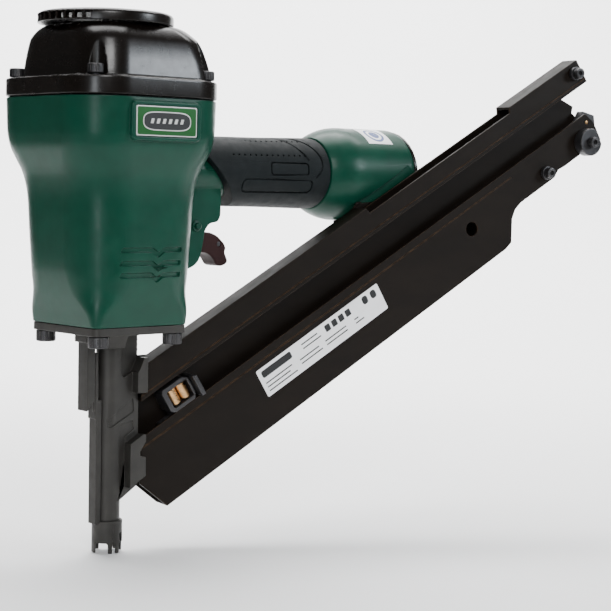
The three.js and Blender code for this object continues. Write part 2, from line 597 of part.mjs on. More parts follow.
function buildMagazine() {
  addPiece('magazine_body', makeMagazine(), BLACK, magazine);
  // Pusher: a carriage in the slot, with a window onto its two feed springs.
  const carriage = cut(
    plate([
      [5, -73], [5, -59.5], [7, -57], [23, -57], [27.4, -60], [27.4, -71], [25, -75.4], [8, -75.4],
    ].map(([s, n]) => [s, n - 0.2]), -8.6, 5.4),
    plate([[8.7, -60.2], [25.3, -60.2], [25.3, -72.8], [8.7, -72.8]], -12, 3.4),
  );
  const foot = box([-4, 20], [-2.4, 2.4], [-110, -77]);
  const neck = box([6, 20], [-2.4, 2.4], [-80, -73]);
  addPiece('pusher', join(carriage, foot, neck), DARK_STEEL, magazine);
  const tab = plate([[28, -59], [31.4, -60.4], [31.4, -75], [28, -75]], -14, 3);
  addPiece('pusher_tab', tab, DARK_STEEL, magazine);
  [13, 21].forEach((s, i) => {
    const reel = cut(bar('z', REEL_R, -72, -61, [0, 0], 24), bar('z', 1.5, -75, -58, [0, 0], 12));
    placeInMagazine(addPiece(`feed_spring_${i + 1}`, reel, BRASS, magazine), s, REEL_Y, 0);
    const pin = bar('z', 1.2, -72.2, -60.8, [0, 0], 12);
    placeInMagazine(addPiece(`feed_spring_pin_${i + 1}`, pin, STEEL, magazine), s, REEL_Y, 0);
  });
  // Rear fittings.
  const disc = cut(
    bar('y', 10.4, -MAG_HALF - 8.6, -MAG_HALF - GAP, [405, -94.2], 32),
    box([413.6, 430], [-30, 0], [-120, -60]),
    bar('y', 2.9, -30, 0, [405, -94.2], 16),
  );
  addPiece('end_stop', disc, DARK_STEEL, magazine);
  sideScrew('end_stop_screw', 4, 2.3, 24, 2, 405, -MAG_HALF - 8.9, -94.2);
  const bushing = (s, n) => cut(
    bar('y', 5, -MAG_HALF - 3.4, -MAG_HALF - GAP, [s, n], 24),
    bar('y', 2.6, -30, 0, [s, n], 16),
  );
  addPiece('rear_bushing', bushing(360.4, -95.5), DARK_STEEL, magazine);
  sideScrew('rear_screw', 4, 2, 18, 2, 360.4, -MAG_HALF - 3.7, -95.5);
  addPiece('rail_bushing', bushing(421, -43.6), DARK_STEEL, magazine);
  sideScrew('rail_screw', 4, 2, 18, 2, 421, -MAG_HALF - 3.7, -43.6);
  const pawl = cut(
    plate([
      [410, -80], [419, -74.8], [427.4, -83], [424.4, -90.4], [421.8, -89.2], [418, -84.6], [412, -84],
    ], -3.5, 3.5),
    bar('y', 1.5, -5, 5, [414.4, -82], 12),
  );
  addPiece('strip_pawl', pawl, DARK_STEEL, magazine);
  addPiece('pawl_pin', bar('y', 1.3, -8.3, 8.3, [414.4, -82], 12), BRASS, magazine);
}

// Bracket that ties the magazine rail to the underside of the reservoir.
function buildBracket() {
  const core = cut(
    box([194, 222], [-28, -4], [62, 80]),
    turnedAlongHandle([[150, 0], [150, BULB_R + GAP], [260, BULB_R + GAP], [260, 0]]),
    magazineSolid([120, 330], [-MAG_HALF - GAP, MAG_HALF + GAP], [-90, MAG_TOP + GAP]),
  );
  addPiece('magazine_bracket', core, BLACK);
}

buildHead();
buildDrive();
buildNose();
buildContact();
buildTrigger();
buildHandle();
buildMagazine();
buildBracket();

export default tool;
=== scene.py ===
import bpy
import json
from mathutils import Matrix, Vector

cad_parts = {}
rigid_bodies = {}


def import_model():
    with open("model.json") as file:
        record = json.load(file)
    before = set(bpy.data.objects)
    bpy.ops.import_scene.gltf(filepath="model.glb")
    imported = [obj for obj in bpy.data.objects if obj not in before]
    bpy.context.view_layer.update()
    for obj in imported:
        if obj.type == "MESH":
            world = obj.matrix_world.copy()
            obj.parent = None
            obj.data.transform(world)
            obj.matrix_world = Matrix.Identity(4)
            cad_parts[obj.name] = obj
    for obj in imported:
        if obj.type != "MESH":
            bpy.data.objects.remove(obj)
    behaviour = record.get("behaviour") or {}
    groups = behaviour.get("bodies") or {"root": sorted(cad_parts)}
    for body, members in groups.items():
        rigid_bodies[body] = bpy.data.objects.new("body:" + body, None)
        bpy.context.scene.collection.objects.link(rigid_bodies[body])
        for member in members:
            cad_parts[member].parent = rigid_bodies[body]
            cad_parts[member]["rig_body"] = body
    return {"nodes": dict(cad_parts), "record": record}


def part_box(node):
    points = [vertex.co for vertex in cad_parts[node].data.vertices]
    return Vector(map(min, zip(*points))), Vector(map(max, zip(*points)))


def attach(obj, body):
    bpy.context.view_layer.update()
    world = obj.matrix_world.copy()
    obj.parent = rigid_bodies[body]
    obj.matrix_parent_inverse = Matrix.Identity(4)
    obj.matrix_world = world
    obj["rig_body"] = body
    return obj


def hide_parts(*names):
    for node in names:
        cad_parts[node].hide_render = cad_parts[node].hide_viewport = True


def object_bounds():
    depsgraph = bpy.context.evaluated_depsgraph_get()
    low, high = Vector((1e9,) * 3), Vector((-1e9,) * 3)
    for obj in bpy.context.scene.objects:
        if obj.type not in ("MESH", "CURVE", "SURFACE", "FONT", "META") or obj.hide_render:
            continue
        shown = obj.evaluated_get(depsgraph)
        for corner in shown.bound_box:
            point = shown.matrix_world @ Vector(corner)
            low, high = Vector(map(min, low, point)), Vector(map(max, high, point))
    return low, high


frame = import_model()
cad_box = [[float(value) for value in corner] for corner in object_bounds()]

import json
import math

import bmesh
import bpy
from mathutils import Matrix, Vector

# Finished looks of a pneumatic strip nailer. Shapes are laid out in millimetres from
# the driver axis and the joint between the housing and the nose flange, as the solids
# are, and then moved to their place in the frame.
MM = 0.001
sleeve_low, sleeve_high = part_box("cylinder_sleeve")
bulb_low, bulb_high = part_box("end_cap")
ORIGIN = Vector(((sleeve_low.x + sleeve_high.x) / 2, (sleeve_low.y + sleeve_high.y) / 2,
                 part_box("housing")[0].z))
HANDLE_Z = ((bulb_low.z + bulb_high.z) / 2 - ORIGIN.z) / MM
MAG_TILT = math.radians(31)
MAG_YAW = math.radians(10)
TO_FRAME = Matrix.Translation(ORIGIN) @ Matrix.Scale(MM, 4)
TO_MAGAZINE = (TO_FRAME @ Matrix.Rotation(-MAG_YAW, 4, "Z")
               @ Matrix.Rotation(-MAG_TILT, 4, "Y"))
SMOOTH = math.radians(32)
SCREW_CORNERS = [(-1, -1), (1, -1), (1, 1), (-1, 1)]
CAP_SCREW = 61.3 * math.sqrt(0.5)
BASE_SCREW = 29.2
CAP_SEAT = 156.9                      # under the heads of the cap screws
BASE_SEAT = -5.6                      # under the heads of the base screws
DEFLECTOR_X = -5                      # axis on which the deflector turns
TRIGGER_PIN = (60.8, 0, 62.8)
TRIGGER_PIN_HOLE = 2.8
MAG_FACE = -8                         # near face of the magazine
FLAT_ANGLE = math.radians(0.6)        # faces this close to level count as one


# ---------------------------------------------------------------- materials

def finish(name, colour, wear_and_highlight_colour, rough, metal=0.0, tone=0.12, tone_size=14.0, grain=0.35,
           depth=0.02, wear_and_highlight=0.5, edge=0.6, specular=0.5, least_wear_and_highlight=0.15,
           stretch=(1, 1, 1)):
    """A painted or metal surface: uneven tone, a colour along its edges for rubbed paint, which
    on the black anodised finish also stands in for painted highlights, and fine grain in its
    gloss.

    Sizes are in millimetres: tone_size of the patches, grain and depth of the texture,
    and edge for the width of the band along edges that takes that colour."""
    material = bpy.data.materials.new(name)
    material.use_nodes = True
    nodes = material.node_tree.nodes
    link = material.node_tree.links.new
    shader = nodes["Principled BSDF"]
    shader.inputs["Metallic"].default_value = metal
    shader.inputs["Specular IOR Level"].default_value = specular

    def node(kind, **settings):
        made = nodes.new(kind)
        for key, value in settings.items():
            setattr(made, key, value)
        return made

    place = node("ShaderNodeTexCoord")
    mapping = node("ShaderNodeMapping")
    mapping.inputs["Scale"].default_value = stretch
    link(place.outputs["Object"], mapping.inputs["Vector"])

    def noise(size, detail):
        made = node("ShaderNodeTexNoise")
        made.inputs["Scale"].default_value = 1 / (size * MM)
        made.inputs["Detail"].default_value = detail
        link(mapping.outputs["Vector"], made.inputs["Vector"])
        return made.outputs["Fac"]

    def spread(source, low, high, to_low, to_high):
        made = node("ShaderNodeMapRange")
        for socket, value in zip(("From Min", "From Max", "To Min", "To Max"),
                                 (low, high, to_low, to_high)):
            made.inputs[socket].default_value = value
        link(source, made.inputs["Value"])
        return made.outputs["Result"]

    patches = noise(tone_size, 5)
    fine = noise(grain, 3)
    ramp = node("ShaderNodeValToRGB")
    ramp.color_ramp.elements[0].position = 0.32
    ramp.color_ramp.elements[1].position = 0.68
    ramp.color_ramp.elements[0].color = [*(c * (1 - tone) for c in colour), 1]
    ramp.color_ramp.elements[1].color = [*(c * (1 + tone) for c in colour), 1]
    link(patches, ramp.inputs["Fac"])

    rounded = node("ShaderNodeBevel", samples=4)
    rounded.inputs["Radius"].default_value = edge * MM
    surface = node("ShaderNodeNewGeometry")
    facing = node("ShaderNodeVectorMath", operation="DOT_PRODUCT")
    link(rounded.outputs["Normal"], facing.inputs[0])
    link(surface.outputs["Normal"], facing.inputs[1])
    # Edge colour: rubbed paint, and on the black anodised finish also a painted highlight along
    # every edge.
    at_edge = spread(facing.outputs["Value"], 0.72, 0.985, 1.0, 0.0)
    uneven = spread(noise(2.2, 4), 0.38, 0.62, least_wear_and_highlight, wear_and_highlight)
    wear_and_highlight_mask = node("ShaderNodeMath", operation="MULTIPLY", use_clamp=True)
    link(at_edge, wear_and_highlight_mask.inputs[0])
    link(uneven, wear_and_highlight_mask.inputs[1])
    mix = node("ShaderNodeMix", data_type="RGBA")
    link(wear_and_highlight_mask.outputs["Value"], mix.inputs[0])
    link(ramp.outputs["Color"], mix.inputs[6])
    mix.inputs[7].default_value = [*wear_and_highlight_colour, 1]
    link(mix.outputs[2], shader.inputs["Base Color"])

    link(spread(noise(tone_size * 0.4, 6), 0.3, 0.7, *rough), shader.inputs["Roughness"])
    bump = node("ShaderNodeBump")
    bump.inputs["Distance"].default_value = depth * MM
    bump.inputs["Strength"].default_value = 1.0
    link(fine, bump.inputs["Height"])
    link(rounded.outputs["Normal"], bump.inputs["Normal"])
    link(bump.outputs["Normal"], shader.inputs["Normal"])
    return material


PAINT = finish("green_lacquer", (0.0022, 0.044, 0.026), (0.03, 0.11, 0.075), (0.28, 0.40),
               tone=0.10, grain=1.4, depth=0.006, wear_and_highlight=0.35, specular=0.2)
CAP_PAINT = finish("black_lacquer", (0.0045, 0.0030, 0.0022), (0.10, 0.05, 0.025),
                   (0.24, 0.28), tone=0.12, grain=1.4, depth=0.002, wear_and_highlight=0.35, specular=0.4,
                   least_wear_and_highlight=0.05)
# Black anodised magazine: the bronze edge colour, strong and nearly unbroken along every edge,
# is partly rubbed anodising and partly a painted highlight for the light its edges catch.
ANODISED = finish("black_anodised", (0.0080, 0.0056, 0.0040), (0.13, 0.075, 0.04), (0.42, 0.55),
                  tone=0.16, grain=0.5, depth=0.008, wear_and_highlight=0.8, edge=0.7, specular=0.12,
                  least_wear_and_highlight=0.35, stretch=(0.25, 1, 1))
RUBBER = finish("grip_rubber", (0.0055, 0.0078, 0.0085), (0.02, 0.024, 0.025), (0.55, 0.70),
                tone=0.12, grain=0.45, depth=0.05, wear_and_highlight=0.4, specular=0.14)
CASTING = finish("cast_grey", (0.030, 0.028, 0.025), (0.10, 0.09, 0.08), (0.42, 0.56),
                 metal=0.45, tone=0.16, grain=0.7, depth=0.05, wear_and_highlight=0.7)
DARK_STEEL = finish("blackened_steel", (0.052, 0.051, 0.053), (0.20, 0.19, 0.18),
                    (0.32, 0.46), metal=0.8, tone=0.2, grain=0.4, depth=0.02, wear_and_highlight=0.8)
STEEL = finish("bright_steel", (0.42, 0.42, 0.43), (0.62, 0.62, 0.62), (0.22, 0.36),
               metal=1.0, tone=0.1, grain=0.4, depth=0.01, wear_and_highlight=0.6)
ALUMINIUM = finish("plain_aluminium", (0.5, 0.5, 0.51), (0.7, 0.7, 0.7), (0.3, 0.45),
                   metal=1.0, tone=0.08, grain=0.5, depth=0.01, wear_and_highlight=0.5)
BRASS = finish("brass", (0.60, 0.36, 0.17), (0.80, 0.58, 0.34), (0.24, 0.38), metal=1.0,
               tone=0.14, grain=0.5, depth=0.01, wear_and_highlight=0.7, stretch=(1, 1, 6))
TRIGGER = finish("trigger_brown", (0.022, 0.0070, 0.0068), (0.07, 0.03, 0.027), (0.42, 0.54),
                 tone=0.14, grain=0.6, depth=0.02, wear_and_highlight=0.5, specular=0.15)
PLATE = finish("plate_green", (0.003, 0.085, 0.010), (0.5, 0.5, 0.5), (0.28, 0.36),
               metal=0.25, tone=0.08, grain=0.5, depth=0.004, wear_and_highlight=0.3)
RIM = finish("plate_silver", (0.62, 0.62, 0.60), (0.8, 0.8, 0.8), (0.30, 0.40), metal=0.3,
             tone=0.06, grain=0.5, depth=0.004, wear_and_highlight=0.4)
INK = finish("label_ink", (0.004, 0.004, 0.0045), (0.05, 0.05, 0.05), (0.42, 0.52),
             tone=0.15, grain=0.4, depth=0.004, wear_and_highlight=0.1)
PAPER = finish("label_foil", (0.92, 0.91, 0.92), (0.95, 0.95, 0.95), (0.34, 0.44),
               tone=0.03, grain=0.6, depth=0.006, wear_and_highlight=0.2)
BLUE = finish("sticker_blue", (0.05, 0.09, 0.26), (0.3, 0.35, 0.5), (0.36, 0.44),
              tone=0.08, grain=0.5, depth=0.004, wear_and_highlight=0.1)
BUFFER = finish("bumper_rubber", (0.20, 0.09, 0.03), (0.3, 0.16, 0.07), (0.5, 0.62),
                tone=0.1, grain=0.6, depth=0.03, wear_and_highlight=0.3)
NODE_SLOTS = {part["node"]: part["material_slot"] for part in frame["record"]["subparts"]}
SLOT_LOOKS = {
    "green_paint": PAINT, "black_paint": CAP_PAINT, "black_anodised": ANODISED,
    "rubber": RUBBER, "cast_grey": CASTING, "dark_steel": DARK_STEEL, "steel": STEEL,
    "aluminium": ALUMINIUM, "brass": BRASS, "trigger_brown": TRIGGER,
    "plate_green": PLATE, "bumper_rubber": BUFFER,
}


# ---------------------------------------------------------------- mesh tools

def piece_from(name, verts, faces):
    mesh = bpy.data.meshes.new(name)
    mesh.from_pydata([tuple(v) for v in verts], [], faces)
    piece = bpy.data.objects.new(name, mesh)
    bpy.context.scene.collection.objects.link(piece)
    bm = bmesh.new()
    bm.from_mesh(mesh)
    bmesh.ops.remove_doubles(bm, verts=bm.verts, dist=1e-4)
    bmesh.ops.recalc_face_normals(bm, faces=bm.faces)
    bm.to_mesh(mesh)
    bm.free()
    return piece


def settle(piece):
    """Applies the modifiers of a piece to its mesh."""
    evaluated = piece.evaluated_get(bpy.context.evaluated_depsgraph_get())
    mesh = bpy.data.meshes.new_from_object(evaluated)
    piece.modifiers.clear()
    piece.data = mesh
    return piece


def combine(piece, operation, *others):
    for other in others:
        tool = piece.modifiers.new("combine", "BOOLEAN")
        tool.operation = operation
        tool.solver = "EXACT"
        tool.object = other
        settle(piece)
        bpy.data.objects.remove(other)
    return piece


def join(piece, *others):
    return combine(piece, "UNION", *others)


def cut(piece, *others):
    return combine(piece, "DIFFERENCE", *others)


def clean(piece):
    """Dissolves the needless edges that cutting leaves on flat faces."""
    bm = bmesh.new()
    bm.from_mesh(piece.data)
    bmesh.ops.remove_doubles(bm, verts=bm.verts, dist=0.01)
    bmesh.ops.dissolve_limit(bm, angle_limit=FLAT_ANGLE, verts=bm.verts, edges=bm.edges)
    bm.to_mesh(piece.data)
    bm.free()
    return piece


def soften(piece, width, segments=2, angle=32):
    clean(piece)
    tool = piece.modifiers.new("soften", "BEVEL")
    tool.width = width
    tool.segments = segments
    tool.limit_method = "ANGLE"
    tool.angle_limit = math.radians(angle)
    tool.use_clamp_overlap = False
    tool.miter_outer = "MITER_ARC"
    return settle(piece)


def place(piece, look, body="body", node=None, slot=None, matrix=TO_FRAME):
    """Moves a finished piece into the frame, sets the body it rides on, and hides the CAD node
    it takes the place of.
    """
    piece.data.transform(matrix)
    piece.data.materials.clear()
    piece.data.materials.append(look)
    piece.data.shade_smooth()
    piece.data.set_sharp_from_angle(angle=SMOOTH)
    normals = piece.modifiers.new("normals", "WEIGHTED_NORMAL")
    normals.keep_sharp = True
    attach(piece, body)
    if node:
        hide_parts(node)
    return piece


def skin(name, rings):
    """Faces between rings of equal count, each ring closed on itself, and two ends."""
    count = len(rings[0])
    verts = [point for ring in rings for point in ring]
    faces = []
    for level in range(len(rings) - 1):
        low, high = level * count, (level + 1) * count
        for i in range(count):
            after = (i + 1) % count
            faces.append((low + i, low + after, high + after, high + i))
    faces.append(tuple(reversed(range(count))))
    faces.append(tuple(range(len(verts) - count, len(verts))))
    return piece_from(name, verts, faces)


def eased(rows, per_span):
    """Points on a smooth curve through the rows, with Catmull-Rom spans."""
    points = []
    for i in range(len(rows) - 1):
        p0 = rows[max(i - 1, 0)]
        p1, p2 = rows[i], rows[i + 1]
        p3 = rows[min(i + 2, len(rows) - 1)]
        for step in range(per_span):
            t = step / per_span
            points.append([
                0.5 * (2 * b + (c - a) * t + (2 * a - 5 * b + 4 * c - d) * t ** 2
                       + (3 * b - a - 3 * c + d) * t ** 3)
                for a, b, c, d in zip(p0, p1, p2, p3)])
    return points + [list(rows[-1])]


def rounded_square(half, radius, shift, steps):
    points = []
    for corner in range(4):
        turn = corner * math.pi / 2
        reach = (half - radius) * math.sqrt(2)
        cx = reach * math.cos(turn + math.pi / 4)
        cy = reach * math.sin(turn + math.pi / 4)
        for step in range(steps + 1):
            angle = turn + step / steps * math.pi / 2
            points.append((cx + radius * math.cos(angle) + shift,
                           cy + radius * math.sin(angle)))
    return points


def tower(name, sections, steps=14, per_span=1):
    rows = [row if len(row) == 4 else [*row, 0] for row in sections]
    if per_span > 1:
        rows = eased(rows, per_span)
    return skin(name, [[(x, y, z) for x, y in rounded_square(half, radius, shift, steps)]
                       for z, half, radius, shift in rows])


def turned(name, profile, sides=96, centre=(0, 0, 0), axis="z"):
    """A closed profile of (radius, height) points turned about an axis."""
    verts, faces = [], []
    count = len(profile)
    for side in range(sides):
        angle = 2 * math.pi * side / sides
        for radius, height in profile:
            u, v = radius * math.cos(angle), radius * math.sin(angle)
            point = {"z": (u, v, height), "x": (height, u, v), "y": (v, height, u)}[axis]
            verts.append([a + b for a, b in zip(point, centre)])
    for side in range(sides):
        here, there = side * count, (side + 1) % sides * count
        for i in range(count):
            after = (i + 1) % count
            faces.append((here + i, here + after, there + after, there + i))
    piece = piece_from(name, verts, faces)
    bm = bmesh.new()
    bm.from_mesh(piece.data)
    bmesh.ops.dissolve_degenerate(bm, dist=1e-4, edges=bm.edges)
    bmesh.ops.recalc_face_normals(bm, faces=bm.faces)
    bm.to_mesh(piece.data)
    bm.free()
    return piece


def rod(name, axis, radius, start, end, centre=(0, 0, 0), sides=48):
    return turned(name, [(0, start), (radius, start), (radius, end), (0, end)], sides,
                  centre, axis)


def slab(name, outline, y0, y1):
    """A side outline of (x, z) points pushed across from y0 to y1."""
    return skin(name, [[(x, y, z) for x, z in outline] for y in (y0, y1)])


def block(name, xs, ys, zs):
    (x0, x1), (z0, z1) = xs, zs
    return slab(name, [(x0, z0), (x1, z0), (x1, z1), (x0, z1)], *ys)


def rounded_outline(points, radius, steps=5):
    """An outline with its corners turned into arcs of about that radius."""
    result = []
    count = len(points)
    for i in range(count):
        here = Vector(points[i])
        before = Vector(points[i - 1]) - here
        after = Vector(points[(i + 1) % count]) - here
        reach = min(radius, before.length * 0.48, after.length * 0.48)
        start = here + before.normalized() * reach
        end = here + after.normalized() * reach
        for step in range(steps + 1):
            t = step / steps
            result.append(tuple(start * (1 - t) ** 2 + here * 2 * t * (1 - t) + end * t * t))
    return result


def swept(name, path, radius, sides=10):
    """A round tube along a path of points, closed at its ends."""
    rings = []
    points = [Vector(p) for p in path]
    for i, point in enumerate(points):
        ahead = points[min(i + 1, len(points) - 1)] - points[max(i - 1, 0)]
        side = ahead.normalized().cross(Vector((0, 1, 0))).normalized()
        other = ahead.normalized().cross(side)
        rings.append([tuple(point + radius * (side * math.cos(a) + other * math.sin(a)))
                      for a in (2 * math.pi * k / sides for k in range(sides))])
    return skin(name, rings)


def refined(node, look, width, segments=2, extra_cuts=(), matrix=TO_FRAME):
    """A copy of a CAD node with its edges rounded, cut further where asked."""
    source = frame["nodes"][node]
    piece = bpy.data.objects.new(node + "_finished", source.data.copy())
    bpy.context.scene.collection.objects.link(piece)
    piece.data.transform(matrix.inverted())
    clean(piece)
    cut(piece, *extra_cuts)
    soften(piece, width, segments)
    return place(piece, look, source["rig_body"], node, matrix=matrix)


# ---------------------------------------------------------------- head

HOUSING_SECTIONS = [
    [0, 36.6, 5], [9, 38.6, 10], [21, 42, 24], [32, 44.4, 30], [41, 45.4, 32],
    [60, 46.3, 32], [80, 47.1, 32], [92, 48.6, 32], [99, 50.4, 32], [105.5, 52.8, 32],
    [112, 55, 32], [118, 56.1, 32], [125, 56.7, 32], [143.6, 57.1, 32],
]
BULB_R = 33.3
BULB_END = 249.5
GROOVE_HEIGHTS = (49, 40.7, 33.1)
GROOVE_DEPTH = 1.5


def groove_cutter(side):
    """Three channels along the face of the body, each with one dip in its length."""
    bands = None
    for z in GROOVE_HEIGHTS:
        upper = [(24, 1.5), (9.5, 1.5), (5, -1.6), (0.5, 1.5), (-22, 1.5)]
        lower = [(-23.5, -1.5), (0, -1.5), (5, -5), (10, -1.5), (24, -1.5)]
        outline = rounded_outline([(x, z + dz) for x, dz in upper + lower], 1.1, 3)
        band = slab("band", outline, min(side * 60, 0), max(side * 60, 0))
        bands = join(bands, band) if bands else band
    core = tower("core", [[z, half - GROOVE_DEPTH, max(radius - GROOVE_DEPTH, 4)]
                          for z, half, radius in HOUSING_SECTIONS], per_span=4)
    return cut(bands, core)


def build_housing():
    body = tower("housing_shell", HOUSING_SECTIONS, per_span=4)
    handle = turned("handle", [(0, 30), (17.5, 30), (17.5, 172.6), *[
        tuple(row) for row in eased([(25.4, 172.6), (27.6, 176), (30, 181), (32.2, 188),
                                     (BULB_R, 196), (BULB_R, 206)], 3)],
        (BULB_R, 245.5), (33.1, 247), (32.5, 248.4), (30.8, BULB_END), (0, BULB_END)],
        centre=(0, 0, HANDLE_Z), axis="x")
    cheek = slab("cheek", rounded_outline([
        (40, 31.5), (57.7, 35), (63.5, 39), (66.4, 48), (68.5, 60), (72.5, 64.5), (80, 65.6),
        (82, 70), (82, 88), (50, 121), (40, 121)], 4), -13, 13)
    gap = block("gap", (47.5, 100), (-8.7, 8.7), (20, 66))
    upper_gap = block("upper_gap", (47.5, 68.5), (-8.7, 8.7), (55, 70.6))
    join(body, handle, cheek)
    cut(body, gap, upper_gap)
    for side in (-1, 1):
        cut(body, groove_cutter(side))
    frame_ring = slab("frame_ring", rounded_outline(
        [(-27, 116.8), (27, 116.8), (27, 141.6), (-27, 141.6)], 5), -59.4, -52)
    soften(frame_ring, 1.2, 3)
    join(body, frame_ring)
    cut(body, slab("recess", rounded_outline(
        [(-24, 119.4), (24, 119.4), (24, 138.8), (-24, 138.8)], 1.6), -62, -57.6))
    cut(body, tower("chamber", [[96, 40, 30], [104, 44, 30], [150, 46, 30]]),
        rod("bore", "z", 29.3, -1, 124, sides=64),
        rod("air_way", "x", 12, 36, 260, (0, 0, HANDLE_Z)),
        turned("reservoir", [(0, 176), (12.5, 176), (25, 188), (27, 240), (30, 240),
                             (30, 260), (0, 260)], 64, (0, 0, HANDLE_Z), "x"),
        rod("valve_bore", "z", 8.8, 60, 90, (76, 0, 0)),
        rod("pin_hole", "y", TRIGGER_PIN_HOLE, -14, 14, TRIGGER_PIN, 32))
    beside = slab("beside", [(120, -70), (330, -70), (330, -33.7), (120, -33.7)], -30, 10)
    beside.data.transform(TO_FRAME.inverted() @ TO_MAGAZINE)
    cut(body, beside)
    for sx, sy in SCREW_CORNERS:
        cut(body, rod("hole", "z", 4.3, -1, 16, (sx * BASE_SCREW, sy * BASE_SCREW, 0), 24))
    soften(body, 0.5, 2, 34)
    place(body, PAINT, "body", "housing", "green_paint")


SCALLOP_R = 7.4


def build_cap():
    cap = tower("cap_shell", [
        [144.4, 56.8, 31.4], [144.9, 57.2, 31.8], [145.5, 57.4, 32], [154.6, 57.4, 32],
        [155.4, 57.1, 31.8], [155.9, 56.4, 31.4], [156, 51.8, 27, 3.4],
        [156.9, 50.2, 24.6, 4.2], [158.4, 50, 24, 4.2], *eased([
            [161, 49.7, 24, 4.1], [169, 48.4, 24, 3.7], [177, 46.6, 24, 2.8],
            [182, 44.8, 24, 1.8], [187, 41, 24, 0.6], [189.3, 38, 24, 0.2], [190, 36, 24, 0],
        ], 4)], steps=16)
    cut(cap, tower("hollow", [[140, 46, 30], [150, 44, 24], [178, 39, 24]]))
    for sx, sy in SCREW_CORNERS:
        centre = (sx * CAP_SCREW, sy * CAP_SCREW, 0)
        cut(cap, rod("scallop", "z", SCALLOP_R, 156.7, 192, centre),
            rod("hole", "z", 3.3, 140, 160, centre))
    soften(cap, 0.7, 3, 38)
    place(cap, CAP_PAINT, "body", "cap", "black_paint")


RIB_STEP = 0.155


def build_deflector():
    centre = (DEFLECTOR_X, 0, 0)
    lid = turned("exhaust_cover", [
        (0, 196), (20, 196.4), (38, 195.6), (40.2, 194.8), (40.6, 191.4), (41, 190.8),
        (43.1, 190.8), (43.4, 191.3), (43.4, 195.2), (43.1, 196.4), (42.3, 197.4),
        (40.8, 198.1), (36, 198.7), (24, 199.2), (8, 199.4), (6.6, 199.2),
        (6, 198.6), (5.6, 197.6), (5.2, 197.2), (0, 197.2)], 128, centre)
    mouth = block("mouth", (-62, -20), (-29, 29), (191.9, 196.4))
    cut(mouth, rod("inner", "z", 39, 180, 210, centre, 64))
    cut(lid, mouth, rod("pin", "z", 2.8, 180, 210, centre, 32))
    for rib in range(-4, 5):
        angle = math.pi + rib * RIB_STEP
        louvre = block("louvre", (39.2, 43.2), (-0.9, 0.9), (191, 196.8))
        louvre.data.transform(Matrix.Translation(Vector(centre))
                              @ Matrix.Rotation(angle, 4, "Z"))
        join(lid, louvre)
    soften(lid, 0.35, 2, 34)
    place(lid, CAP_PAINT, "deflector", "exhaust_deflector", "black_paint")


KNURLS = 20
SCREWS = {}                           # the mesh of each size of screw, made once


def socket_head(radius, height, socket):
    """A socket head screw: knurled rim, rounded crown, and a hexagon that sinks in."""
    head = turned("screw", [
        (0, 0), (radius - 0.5, 0), (radius, 0.5), (radius, height - 0.9),
        (radius - 0.25, height - 0.35), (radius - 0.9, height), (socket + 0.7, height),
        (socket + 0.4, height - 0.35), (0, height - 0.35)], 48)
    for side in range(KNURLS):
        angle = 2 * math.pi * side / KNURLS
        notch = rod("notch", "z", radius * 0.03, 0.9, height - 1.4,
                    (radius * math.cos(angle), radius * math.sin(angle), 0), 6)
        cut(head, notch)
    cut(head, rod("socket", "z", socket, height * 0.42, height + 1, sides=6))
    return head


def screw(node, look, radius, height, socket, matrix, body="body", frame_matrix=TO_FRAME,
          shank=3.0, length=12.0):
    key = (radius, height, socket, shank, length)
    if key not in SCREWS:
        made = socket_head(radius, height, socket)
        join(made, rod("shank", "z", shank, -length, 0.3, sides=24))
        soften(made, 0.12, 1, 40)
        SCREWS[key] = made.data.copy()
        bpy.data.objects.remove(made)
    piece = bpy.data.objects.new(node + "_finished", SCREWS[key].copy())
    bpy.context.scene.collection.objects.link(piece)
    piece.data.transform(matrix)
    return place(piece, look, body, node, "dark_steel", frame_matrix)


def build_screws():
    for i, (sx, sy) in enumerate(SCREW_CORNERS):
        up = Matrix.Translation((sx * CAP_SCREW, sy * CAP_SCREW, CAP_SEAT))
        screw(f"cap_screw_{i + 1}", DARK_STEEL, 5, 6, 2.6, up)
        down = Matrix.Translation((sx * BASE_SCREW, sy * BASE_SCREW, BASE_SEAT))
        down = down @ Matrix.Rotation(math.pi, 4, "X")
        screw(f"base_screw_{i + 1}", DARK_STEEL, 6.4, 7.4, 3.4, down, shank=4)
    screw("deflector_screw", DARK_STEEL, 4.6, 3, 2,
          Matrix.Translation((DEFLECTOR_X, 0, 197.3)), shank=2.3)
    near = Matrix.Rotation(math.pi / 2, 4, "X")
    for node, s, y, n, shank in (("end_stop_screw", 405, -16.9, -94.2, 2.3),
                                 ("rear_screw", 360.4, -11.7, -95.5, 2),
                                 ("rail_screw", 421, -11.7, -43.6, 2)):
        screw(node, DARK_STEEL, 4, 4.6, 2, Matrix.Translation((s, y, n)) @ near,
              frame_matrix=TO_MAGAZINE, shank=shank, length=18)


PLATE_Z = 129.1


